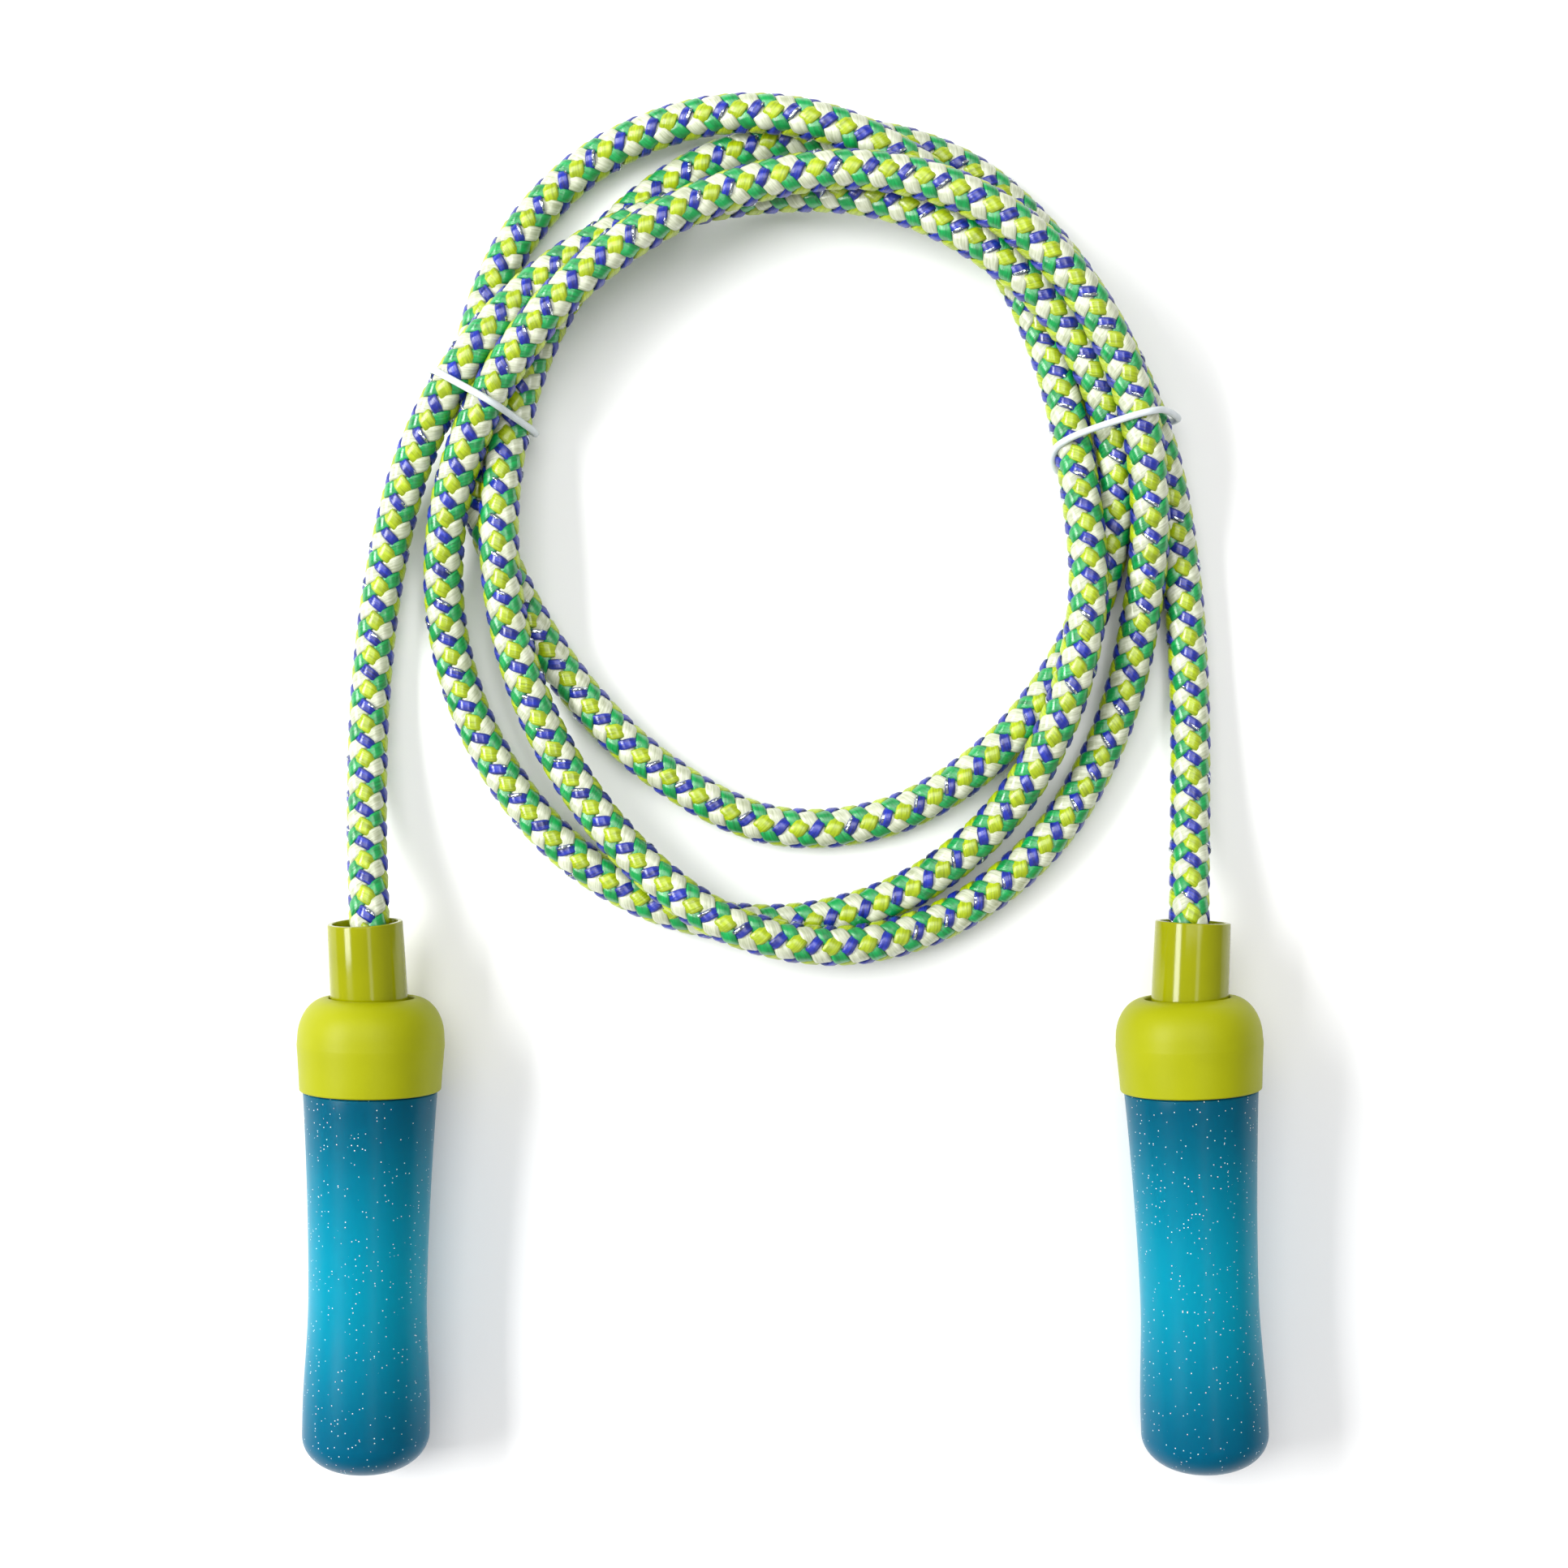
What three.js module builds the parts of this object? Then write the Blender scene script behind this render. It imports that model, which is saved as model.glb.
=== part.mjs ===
// A child's skipping rope: a braided rope wound into a loose three-turn coil and held by two
// thin plastic ties, with a hollow handle at each end that spins freely on a flanged nozzle.
// Millimetres, +Z up. The rope and the handles lie on the plane z = 0, and the origin is on
// that plane, under the middle of the two handles.
import * as THREE from "three";
import { mergeVertices } from "three/addons/utils/BufferGeometryUtils.js";

// ---------------------------------------------------------------- driving dimensions
const ROPE_DIAMETER = 9.6;
const ROPE_SIDES = 10;
const ROPE_STEPS = 80;

const GRIP_LENGTH = 91.6; // rounded butt to the edge of the cap
const GRIP_BUTT_RADIUS = 15.15;
const GRIP_WAIST_RADIUS = 14.05;
const GRIP_TOP_RADIUS = 15.9;
const GRIP_WALL = 1.8;
const BUTT_DOME_HEIGHT = 9.1;
const NECK_LENGTH = 13.2; // the part of the grip that the cap hides

const CAP_RADIUS = 17.4;
const CAP_SKIRT_RADIUS = 16.8;
const CAP_HEIGHT = 22.2;
const CAP_SHOULDER_HEIGHT = 9.6;
const CAP_TOP_WALL = 3;
const SKIRT_CHAMFER = 0.6;

const NOZZLE_MOUTH_RADIUS = 8.95;
const NOZZLE_BASE_RADIUS = 9.2;
const NOZZLE_PROUD = 18.1; // how far it stands out of the cap
const MOUTH_WALL = 1.2;
const MOUTH_EDGE = 0.3; // rounding of the mouth's rim
const FLANGE_THICKNESS = 2;
const FLANGE_OVERLAP = 2.3; // flange beyond the hole that it can't pass

const KNOT_RADIUS = 7.6;
const KNOT_LENGTH = 10.5;

const TIE_DIAMETER = 1.6;

// ---------------------------------------------------------------- clearances
const FIT_GAP = 0.3; // between pieces that touch
const NOZZLE_PLAY = 0.9; // radial play of the nozzle in the cap's hole
const FLANGE_PLAY = 1.4; // axial play that lets the nozzle lean
const FLANGE_SIDE_PLAY = 1.6; // least radial room round the flange in the cap
const ROPE_PLAY = 0.6; // radial play of the rope in the nozzle's bore
const TIE_GAP = 0.55; // between a tie and the rope it holds

// ---------------------------------------------------------------- worked-out sizes
const ropeRadius = ROPE_DIAMETER / 2;
const neckRadius = GRIP_TOP_RADIUS - GRIP_WALL;
const capInnerRadius = neckRadius + FIT_GAP;
const capTop = GRIP_LENGTH + CAP_HEIGHT;
const capUnderside = capTop - CAP_TOP_WALL;
const capHoleRadius = NOZZLE_BASE_RADIUS + NOZZLE_PLAY;
const flangeRadius = Math.min(capHoleRadius + FLANGE_OVERLAP, capInnerRadius - FLANGE_SIDE_PLAY);
const boreRadius = ropeRadius + ROPE_PLAY;
const widestCap = capTop - CAP_SHOULDER_HEIGHT;
const widestButt = BUTT_DOME_HEIGHT + 3;
// A handle lies on its cap and on its butt, so its axis rises towards the nozzle.
const handlePitch = Math.asin((CAP_RADIUS - GRIP_BUTT_RADIUS) / (widestCap - BUTT_DOME_HEIGHT));

const LATHE_SEGMENTS = 36;
const degrees = THREE.MathUtils.degToRad;

// ---------------------------------------------------------------- materials
const plastic = (color, roughness) => new THREE.MeshStandardMaterial({ color, roughness, metalness: 0 });
const ropeMaterial = plastic(0x8fc05a, 0.55);
const gripMaterial = plastic(0x0a86ad, 0.3);
const capMaterial = plastic(0xb9c01a, 0.5);
const nozzleMaterial = plastic(0xb4bd14, 0.22);
const tieMaterial = plastic(0xd8e0e2, 0.35);

const part = new THREE.Group();

function addMesh(parent, name, geometry, material) {
  const mesh = new THREE.Mesh(geometry, material);
  mesh.name = name;
  parent.add(mesh);
  return mesh;
}

// A closed profile of [radius, height] pairs turned about the handle's axis, which is +Y.
function turned(profile) {
  const points = profile.map(([radius, height]) => new THREE.Vector2(Math.max(radius, 0), height));
  return new THREE.LatheGeometry(points, LATHE_SEGMENTS);
}

// ---------------------------------------------------------------- grip
// A hollow shell with a slight waist, a domed butt and a plain neck that the cap closes over.
function gripOutline() {
  const waist = GRIP_LENGTH * 0.45;
  const dome = [0, 25, 45, 62, 77, 90].map((angle) => [
    GRIP_BUTT_RADIUS * Math.sin(degrees(angle)) ** 0.8,
    BUTT_DOME_HEIGHT * (1 - Math.cos(degrees(angle))),
  ]);
  const side = [0.2, 0.45, 0.75, 1].map((t) => [
    THREE.MathUtils.lerp(GRIP_BUTT_RADIUS, GRIP_WAIST_RADIUS, THREE.MathUtils.smoothstep(t, 0, 1)),
    THREE.MathUtils.lerp(widestButt, waist, t),
  ]);
  const flare = [0.3, 0.6, 0.8, 1].map((t) => [
    THREE.MathUtils.lerp(GRIP_WAIST_RADIUS, GRIP_TOP_RADIUS, t ** 1.7),
    THREE.MathUtils.lerp(waist, GRIP_LENGTH - FIT_GAP, t),
  ]);
  return [...dome, ...side, ...flare];
}

function gripGeometry() {
  const outer = gripOutline();
  const neckTop = GRIP_LENGTH + NECK_LENGTH;
  const neckBore = neckRadius - GRIP_WALL;
  const inner = outer
    .filter(([, height]) => height > GRIP_WALL * 2 && height < GRIP_LENGTH - 2 * GRIP_WALL)
    .map(([radius, height]) => [Math.min(radius - GRIP_WALL, neckBore), height])
    .reverse();
  return turned([
    ...outer,
    [neckRadius, GRIP_LENGTH - FIT_GAP],
    [neckRadius, neckTop],
    [neckBore, neckTop],
    ...inner,
    [0, GRIP_WALL],
  ]);
}

// ---------------------------------------------------------------- cap
// A bell-shaped collar. Its top wall has the hole that the nozzle turns in.
function capGeometry() {
  const shoulder = [0, 18, 36, 54, 72, 90].map((angle) => [
    capHoleRadius + FIT_GAP + (CAP_RADIUS - capHoleRadius - FIT_GAP) * Math.cos(degrees(angle)),
    widestCap + CAP_SHOULDER_HEIGHT * Math.sin(degrees(angle)),
  ]);
  return turned([
    [capInnerRadius, GRIP_LENGTH],
    [CAP_SKIRT_RADIUS - SKIRT_CHAMFER, GRIP_LENGTH],
    [CAP_SKIRT_RADIUS, GRIP_LENGTH + SKIRT_CHAMFER],
    ...shoulder,
    [capHoleRadius, capTop - FIT_GAP],
    [capHoleRadius, capUnderside],
    [capInnerRadius, capUnderside],
    [capInnerRadius, GRIP_LENGTH],
  ]);
}

// ---------------------------------------------------------------- nozzle
// The swivel: a tapered tube that the rope comes out of. The flange at its foot is caught
// under the cap. Heights are from the middle of the cap's hole, about which it leans.
const nozzlePivot = (capTop + capUnderside) / 2;
const mouthHeight = capTop + NOZZLE_PROUD - nozzlePivot;
const flangeTop = capUnderside - FLANGE_PLAY - nozzlePivot;
const flangeFoot = flangeTop - FLANGE_THICKNESS;

function nozzleGeometry() {
  return turned([
    [boreRadius, flangeFoot],
    [flangeRadius, flangeFoot],
    [flangeRadius, flangeTop],
    [NOZZLE_BASE_RADIUS, flangeTop],
    [NOZZLE_MOUTH_RADIUS, mouthHeight - MOUTH_EDGE],
    [NOZZLE_MOUTH_RADIUS - MOUTH_EDGE, mouthHeight],
    [NOZZLE_MOUTH_RADIUS - MOUTH_WALL, mouthHeight],
    [boreRadius, flangeTop],
    [boreRadius, flangeFoot],
  ]);
}

// ---------------------------------------------------------------- knot
// The stopper knot in the rope's end, which can't pass the bore.
const knotTop = flangeFoot - FIT_GAP;

function knotGeometry() {
  const middle = knotTop - KNOT_LENGTH / 2;
  const profile = [-90, -60, -30, 0, 30, 60, 90].map((angle) => [
    KNOT_RADIUS * Math.cos(degrees(angle)) ** 0.8,
    middle + (KNOT_LENGTH / 2) * Math.sin(degrees(angle)),
  ]);
  return turned(profile);
}

// ---------------------------------------------------------------- handles
// Each handle lies on the ground, and yaw turns it about Z. Within the play of the cap's
// hole its nozzle is shifted, and tipped sideways by lean and upwards by lift. The rope
// leans on the side of the mouth that drift gives.
const HANDLES = [
  { side: "left", x: -98.8, yaw: -0.95, shift: -0.5, lean: 3.3, lift: 3, drift: 0.8 },
  { side: "right", x: 96.9, yaw: 2.5, shift: 0.5, lean: -4.7, lift: -1, drift: -0.7 },
];
const HANDLE_Y = 37.9;
const ROPE_SAG = 1.2; // how far the rope has dropped by the mouth

// The rope's stretch inside a nozzle, from the knot to the mouth.
function insideNozzle(nozzle, drift) {
  part.updateMatrixWorld(true);
  return [0, 0.35, 1].map((t) => {
    const height = THREE.MathUtils.lerp(knotTop + FIT_GAP, mouthHeight, t);
    return nozzle.localToWorld(new THREE.Vector3(drift * t * t, height, -ROPE_SAG * t * t));
  });
}

const ropeEnds = {};
for (const { side, x, yaw, shift, lean, lift, drift } of HANDLES) {
  const handle = new THREE.Group();
  handle.rotation.set(handlePitch, 0, degrees(yaw), "ZYX");
  handle.position.set(x, HANDLE_Y, CAP_RADIUS / Math.cos(handlePitch));
  handle.translateY(-widestCap);
  part.add(handle);
  addMesh(handle, `grip_${side}`, gripGeometry(), gripMaterial);
  addMesh(handle, `cap_${side}`, capGeometry(), capMaterial);

  const swivel = new THREE.Group();
  swivel.position.set(shift, nozzlePivot, 0);
  swivel.rotation.set(degrees(lift), 0, degrees(lean), "ZYX");
  handle.add(swivel);
  addMesh(swivel, `nozzle_${side}`, nozzleGeometry(), nozzleMaterial);
  addMesh(swivel, `knot_${side}`, knotGeometry(), ropeMaterial);
  ropeEnds[side] = insideNozzle(swivel, drift);
}

// ---------------------------------------------------------------- rope
// The rope's middle line from the left mouth to the right one. It goes up the left side, three
// times round the coil, and down the right side. It lies on the ground, or on the turns below.
const ROUTE = [
  // up the left side and over the coil
  [-101, 90.5, 10.5], [-101, 120, 5.5], [-97.5, 149.5, 5.5], [-89.5, 177, 11], [-76.5, 199.5, 17],
  [-58, 219.5, 16], [-33.5, 234, 14], [-6.5, 241, 11.5], [21.5, 239.5, 14.5], [45.5, 229, 17],
  [67, 210.5, 14], [79.5, 185, 10], [79.5, 156.5, 5.5],
  // the innermost bottom bend, then the outermost arch
  [69, 128.5, 5], [50.5, 105.5, 5], [25.5, 90.5, 5], [-3, 88.5, 5], [-29, 101, 5],
  [-50.5, 121.5, 5], [-66.5, 147, 5], [-75.5, 174.5, 6], [-75.5, 203.5, 7], [-65.5, 231, 5],
  [-45.5, 251, 6], [-18.5, 260, 11], [9, 257.5, 15], [34.5, 245.5, 12.5], [54, 226, 6],
  [66, 200, 5.5], [71.5, 171, 10.5], [73, 142.5, 15],
  // the middle bottom bend, then the arch that lies on top of the others
  [66.5, 114.5, 13.5], [52.5, 90.5, 7.5], [30, 72.5, 5], [1.5, 64.5, 5], [-27.5, 68, 5],
  [-53, 82.5, 5], [-71.5, 105.5, 5], [-81.5, 133, 6], [-81.5, 161, 12], [-72.5, 187, 19],
  [-56.5, 210.5, 22.5], [-34.5, 229, 23], [-9.5, 240.5, 22], [18.5, 244, 23.5], [45.5, 236.5, 25],
  [68, 219, 23], [82.5, 194, 19.5], [88, 166, 14.5], [86.5, 137.5, 7.5],
  // the outermost bottom bend, the last arch and down the right side
  [79, 109.5, 5], [64, 84.5, 5], [41, 66.5, 6.5], [14, 59.5, 12], [-13.5, 65, 15],
  [-36, 81, 12.5], [-53.5, 103.5, 10.5], [-64.5, 129.5, 13], [-68.5, 157.5, 15], [-66, 185.5, 10.5],
  [-56.5, 213, 5.5], [-38.5, 236.5, 5], [-14, 252, 5], [15, 256.5, 5], [43, 249, 5],
  [65, 230, 5], [81, 205.5, 5.5], [91.5, 178.5, 7], [97, 149.5, 5], [99, 120, 5.5],
  [98.5, 90.5, 9.5],
].map(([x, y, z]) => new THREE.Vector3(x, y, z));

const routePoints = [...ropeEnds.left, ...ROUTE, ...ropeEnds.right.reverse()];
const route = new THREE.CatmullRomCurve3(routePoints, false, "catmullrom");

const ropeSection = new THREE.Shape();
for (let side = 0; side < ROPE_SIDES; side += 1) {
  const angle = (2 * Math.PI * side) / ROPE_SIDES;
  const corner = [ropeRadius * Math.cos(angle), ropeRadius * Math.sin(angle)];
  if (side === 0) ropeSection.moveTo(...corner);
  else ropeSection.lineTo(...corner);
}
ropeSection.closePath();
const ropeGeometry = new THREE.ExtrudeGeometry(ropeSection, {
  extrudePath: route,
  steps: ROPE_STEPS,
  bevelEnabled: false,
});
addMesh(part, "rope", ropeGeometry, ropeMaterial);

// ---------------------------------------------------------------- ties
// Each tie is a thin closed band round the four runs of rope that pass through its place. It
// runs along angle; slack lets it stand off the outer run.
const TIES = [
  { side: "left", x: -72.6, y: 190.8, angle: -30, slack: 0 },
  { side: "right", x: 80.9, y: 185.3, angle: 14, slack: 1.5 },
];
const TIE_REACH = 24; // half the widest bundle that a tie looks for
const ROUTE_SAMPLES = 4000;

// The convex outline of a set of [s, z] points, anticlockwise.
function convexOutline(points) {
  const sorted = [...points].sort((a, b) => a[0] - b[0] || a[1] - b[1]);
  const turnOf = (o, a, b) => (a[0] - o[0]) * (b[1] - o[1]) - (a[1] - o[1]) * (b[0] - o[0]);
  const half = (list) => {
    const hull = [];
    for (const point of list) {
      while (hull.length > 1 && turnOf(hull.at(-2), hull.at(-1), point) <= 0) hull.pop();
      hull.push(point);
    }
    return hull.slice(0, -1);
  };
  return [...half(sorted), ...half(sorted.reverse())];
}

function tieGeometry({ x, y, angle, slack }) {
  const along = new THREE.Vector2(Math.cos(degrees(angle)), Math.sin(degrees(angle)));
  const across = new THREE.Vector2(-along.y, along.x);
  const place = (point) => {
    const offset = new THREE.Vector2(point.x - x, point.y - y);
    return { s: offset.dot(along), v: offset.dot(across), z: point.z };
  };
  const samples = route.getPoints(ROUTE_SAMPLES).map(place);
  const rim = ropeRadius + TIE_GAP + TIE_DIAMETER / 2;
  const around = [];
  for (let i = 1; i < samples.length; i += 1) {
    const [from, to] = [samples[i - 1], samples[i]];
    if (Math.abs(to.s) > TIE_REACH || from.v * to.v > 0) continue;
    const slant = Math.hypot(to.s - from.s, to.v - from.v) / Math.abs(to.v - from.v);
    for (let turn = 0; turn < 32; turn += 1) {
      const theta = (2 * Math.PI * turn) / 32;
      around.push([to.s + rim * slant * Math.cos(theta), to.z + rim * Math.sin(theta)]);
    }
  }
  const outer = Math.max(...around.map(([s]) => s));
  const shoulder = ropeRadius + TIE_DIAMETER;
  around.push([outer + slack, shoulder]);
  const loop = convexOutline(around).map(([s, z]) => {
    return new THREE.Vector3(x + along.x * s, y + along.y * s, z);
  });
  const band = new THREE.CatmullRomCurve3(loop, true, "centripetal");
  const tube = new THREE.TubeGeometry(band, 56, TIE_DIAMETER / 2, 6, true);
  tube.deleteAttribute("normal");
  tube.deleteAttribute("uv");
  return mergeVertices(tube, 1e-3);
}

for (const tie of TIES) addMesh(part, `tie_${tie.side}`, tieGeometry(tie), tieMaterial);

export default part;
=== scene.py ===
"""A child's skipping rope, wound into a tied coil, with a spinning handle at each end.

Metres, +Z up. It lies on the ground, z = 0. Real sizes are written in millimetres, times MM.
"""

import bmesh
import bpy
import numpy as np
from mathutils import Euler, Matrix, Vector


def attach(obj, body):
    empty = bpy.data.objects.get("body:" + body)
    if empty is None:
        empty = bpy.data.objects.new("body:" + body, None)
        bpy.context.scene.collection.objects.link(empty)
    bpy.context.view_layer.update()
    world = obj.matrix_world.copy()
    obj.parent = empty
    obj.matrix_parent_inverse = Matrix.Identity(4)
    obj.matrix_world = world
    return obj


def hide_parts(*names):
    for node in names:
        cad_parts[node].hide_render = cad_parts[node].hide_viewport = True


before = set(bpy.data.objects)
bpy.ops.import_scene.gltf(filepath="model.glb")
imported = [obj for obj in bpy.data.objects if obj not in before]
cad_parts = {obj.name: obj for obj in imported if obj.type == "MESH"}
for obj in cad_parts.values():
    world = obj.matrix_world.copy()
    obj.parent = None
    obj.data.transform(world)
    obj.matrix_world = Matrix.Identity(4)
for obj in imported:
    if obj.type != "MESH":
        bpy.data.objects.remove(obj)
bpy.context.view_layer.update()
MM = 0.001

# The camera hangs over the middle of the coil and the handles and looks straight down.
CAMERA_HEIGHT = 600 * MM
CAMERA_Y = 98.5 * MM
SEEN_HALF_WIDTH = 193.2 * MM  # at the ground

camera = bpy.data.objects.new("camera", bpy.data.cameras.new("camera"))
camera.location = (0, CAMERA_Y, CAMERA_HEIGHT)
camera.data.lens = camera.data.sensor_width * CAMERA_HEIGHT / (2 * SEEN_HALF_WIDTH)
camera.data.clip_start = 10 * MM
bpy.context.scene.collection.objects.link(camera)
bpy.context.scene.camera = camera


# ---------------------------------------------------------------- rope: its line and its core
# One 9.6 mm braided cord, 2.13 m long. It lies loose in three turns, over and under itself.
# Inside the braid is a core of straight white yarn, which shows only between the strands.
ROPE_DIAMETER = 9.6 * MM
CORE_RADIUS = 3.7 * MM
ROPE_ROUTE = [
    # in the left nozzle, from the knot to the mouth
    (-98.96, 41.12, 17.22), (-99.22, 49.68, 17.73), (-99.17, 65.66, 17.89),
    # up the left side and over the coil
    (-101, 90.5, 10.5), (-101, 120, 5.5), (-97.5, 149.5, 5.5), (-89.5, 177, 11),
    (-76.5, 199.5, 17), (-58, 219.5, 16), (-33.5, 234, 14), (-6.5, 241, 11.5),
    (21.5, 239.5, 14.5), (45.5, 229, 17), (67, 210.5, 14), (79.5, 185, 10), (79.5, 156.5, 5.5),
    # the innermost bottom bend, then the outermost arch
    (69, 128.5, 5), (50.5, 105.5, 5), (25.5, 90.5, 5), (-3, 88.5, 5), (-29, 101, 5),
    (-50.5, 121.5, 5), (-66.5, 147, 5), (-75.5, 174.5, 6), (-75.5, 203.5, 7), (-65.5, 231, 5),
    (-45.5, 251, 6), (-18.5, 260, 11), (9, 257.5, 15), (34.5, 245.5, 12.5), (54, 226, 6),
    (66, 200, 5.5), (71.5, 171, 10.5), (73, 142.5, 15),
    # the middle bottom bend, then the arch that lies on top of the others
    (66.5, 114.5, 13.5), (52.5, 90.5, 7.5), (30, 72.5, 5), (1.5, 64.5, 5), (-27.5, 68, 5),
    (-53, 82.5, 5), (-71.5, 105.5, 5), (-81.5, 133, 6), (-81.5, 161, 12), (-72.5, 187, 19),
    (-56.5, 210.5, 22.5), (-34.5, 229, 23), (-9.5, 240.5, 22), (18.5, 244, 23.5),
    (45.5, 236.5, 25), (68, 219, 23), (82.5, 194, 19.5), (88, 166, 14.5), (86.5, 137.5, 7.5),
    # the outermost bottom bend, the last arch and down the right side
    (79, 109.5, 5), (64, 84.5, 5), (41, 66.5, 6.5), (14, 59.5, 12), (-13.5, 65, 15),
    (-36, 81, 12.5), (-53.5, 103.5, 10.5), (-64.5, 129.5, 13), (-68.5, 157.5, 15),
    (-66, 185.5, 10.5), (-56.5, 213, 5.5), (-38.5, 236.5, 5), (-14, 252, 5), (15, 256.5, 5),
    (43, 249, 5), (65, 230, 5), (81, 205.5, 5.5), (91.5, 178.5, 7), (97, 149.5, 5),
    (99, 120, 5.5), (98.5, 90.5, 9.5),
    # in the right nozzle, from the mouth to the knot
    (97.1, 65.63, 16.52), (97.1, 49.69, 17.47), (96.86, 41.12, 17.57),
]


def smooth_line(points, per_span):
    """A uniform Catmull-Rom curve: on each span, a cubic from point b to point c whose slopes
    at the ends are (c - a) / 2 and (d - b) / 2, with the end points mirrored past the ends."""
    p = np.array(points, float)
    p = np.concatenate([[2 * p[0] - p[1]], p, [2 * p[-1] - p[-2]]])
    a, b, c, d = (p[i : len(p) - 3 + i, None, :] for i in range(4))
    t = np.linspace(0, 1, per_span, endpoint=False)[None, :, None]
    slope, end_slope = (c - a) / 2, (d - b) / 2
    bend = 3 * (c - b) - 2 * slope - end_slope
    curl = 2 * (b - c) + slope + end_slope
    curve = b + slope * t + bend * t**2 + curl * t**3
    return np.concatenate([curve.reshape(-1, 3), p[-2:-1]])


def length_along(line):
    """The distance along a line of points, from its first point to each one."""
    return np.concatenate([[0], np.cumsum(np.linalg.norm(np.diff(line, axis=0), axis=1))])


rope_line = smooth_line(np.array(ROPE_ROUTE) * MM, 60)
rope_along = length_along(rope_line)
rope_length = rope_along[-1]


def on_rope(along, angle, radius):
    """Points round the rope: the line's point at that length, plus radius times (cos angle of
    the rope's upward direction + sin angle of its sideways direction)."""
    middle = np.stack([np.interp(along, rope_along, rope_line[:, k]) for k in range(3)], -1)
    slopes = np.gradient(rope_line, rope_along, axis=0)
    ahead = np.stack([np.interp(along, rope_along, slopes[:, k]) for k in range(3)], -1)
    ahead /= np.linalg.norm(ahead, axis=-1, keepdims=True)
    up = np.array([0, 0, 1]) - ahead * ahead[..., 2:]
    up /= np.linalg.norm(up, axis=-1, keepdims=True)
    side = np.cross(ahead, up)
    lift = radius * np.cos(angle)
    shift = radius * np.sin(angle)
    return middle + lift[..., None] * up + shift[..., None] * side


def skin(name, grid, uv=None, loop=False, closed_ends=True):
    """A mesh piece on a grid of points: rows run along it and each row is a ring round it. The
    faces join neighbours, loop joins the last row to the first, and the ends get a cap."""
    rows, columns = grid.shape[:2]
    r, c = np.meshgrid(np.arange(rows - (not loop)), np.arange(columns), indexing="ij")
    after, beside = (r + 1) % rows, (c + 1) % columns
    corners = np.stack([r, r, after, after], -1).reshape(-1, 4) * columns
    corners += np.stack([c, beside, beside, c], -1).reshape(-1, 4)
    faces = corners.tolist()
    if closed_ends and not loop:
        faces += [list(range(columns))[::-1], list(range((rows - 1) * columns, rows * columns))]
    mesh = bpy.data.meshes.new(name)
    mesh.from_pydata(grid.reshape(-1, 3), [], faces)
    if uv is not None:
        wrap = np.stack([c, c + 1, c + 1, c], -1).reshape(-1, 4)
        row = np.stack([r, r, r + 1, r + 1], -1).reshape(-1, 4)
        values = np.zeros((len(mesh.loops), 2))
        values[: corners.size, 0] = uv[0][row.ravel()]
        values[: corners.size, 1] = uv[1][wrap.ravel()]
        mesh.uv_layers.new(name="along_and_round").data.foreach_set("uv", values.ravel())
    tidy = bmesh.new()
    tidy.from_mesh(mesh)
    bmesh.ops.remove_doubles(tidy, verts=tidy.verts, dist=1e-7)
    bmesh.ops.recalc_face_normals(tidy, faces=tidy.faces)
    tidy.to_mesh(mesh)
    tidy.free()
    mesh.shade_smooth()
    piece = bpy.data.objects.new(name, mesh)
    bpy.context.scene.collection.objects.link(piece)
    return piece


def linear(hex_colour):
    """An sRGB hex colour as linear RGBA: c / 12.92 up to 0.04045, else
    ((c + 0.055) / 1.055) ^ 2.4."""
    c = np.array([int(hex_colour[i : i + 2], 16) for i in (1, 3, 5)]) / 255
    return (*np.where(c <= 0.04045, c / 12.92, ((c + 0.055) / 1.055) ** 2.4), 1.0)


def add(tree, kind, inputs=None, **settings):
    """One shader node. Each input is a value, or the output of another node that feeds it."""
    made = tree.nodes.new(kind)
    for key, value in settings.items():
        setattr(made, key, value)
    for key, value in (inputs or {}).items():
        if isinstance(value, bpy.types.NodeSocket):
            tree.links.new(value, made.inputs[key])
        else:
            made.inputs[key].default_value = value
    return made


def new_material(name):
    """An empty node material and its tree."""
    material = bpy.data.materials.new(name)
    material.use_nodes = True
    material.node_tree.nodes.clear()
    return material, material.node_tree


def finish_material(tree, surface, normal=None):
    """The Principled surface, with its bump, goes to the output."""
    if normal is not None:
        tree.links.new(normal, surface.inputs["Normal"])
    add(tree, "ShaderNodeOutputMaterial", {"Surface": surface.outputs["BSDF"]})


# Filament polyester: hundreds of fine continuous fibres that lie side by side. It looks like
# satin, bright where the light runs across the fibres, with fine lines along the strand.
FIBRE_SPACING = 0.22  # mm; the real 0.03 mm is too fine to show
FIBRE_LENGTH = 3.2  # mm before one fibre dips under the next


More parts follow.
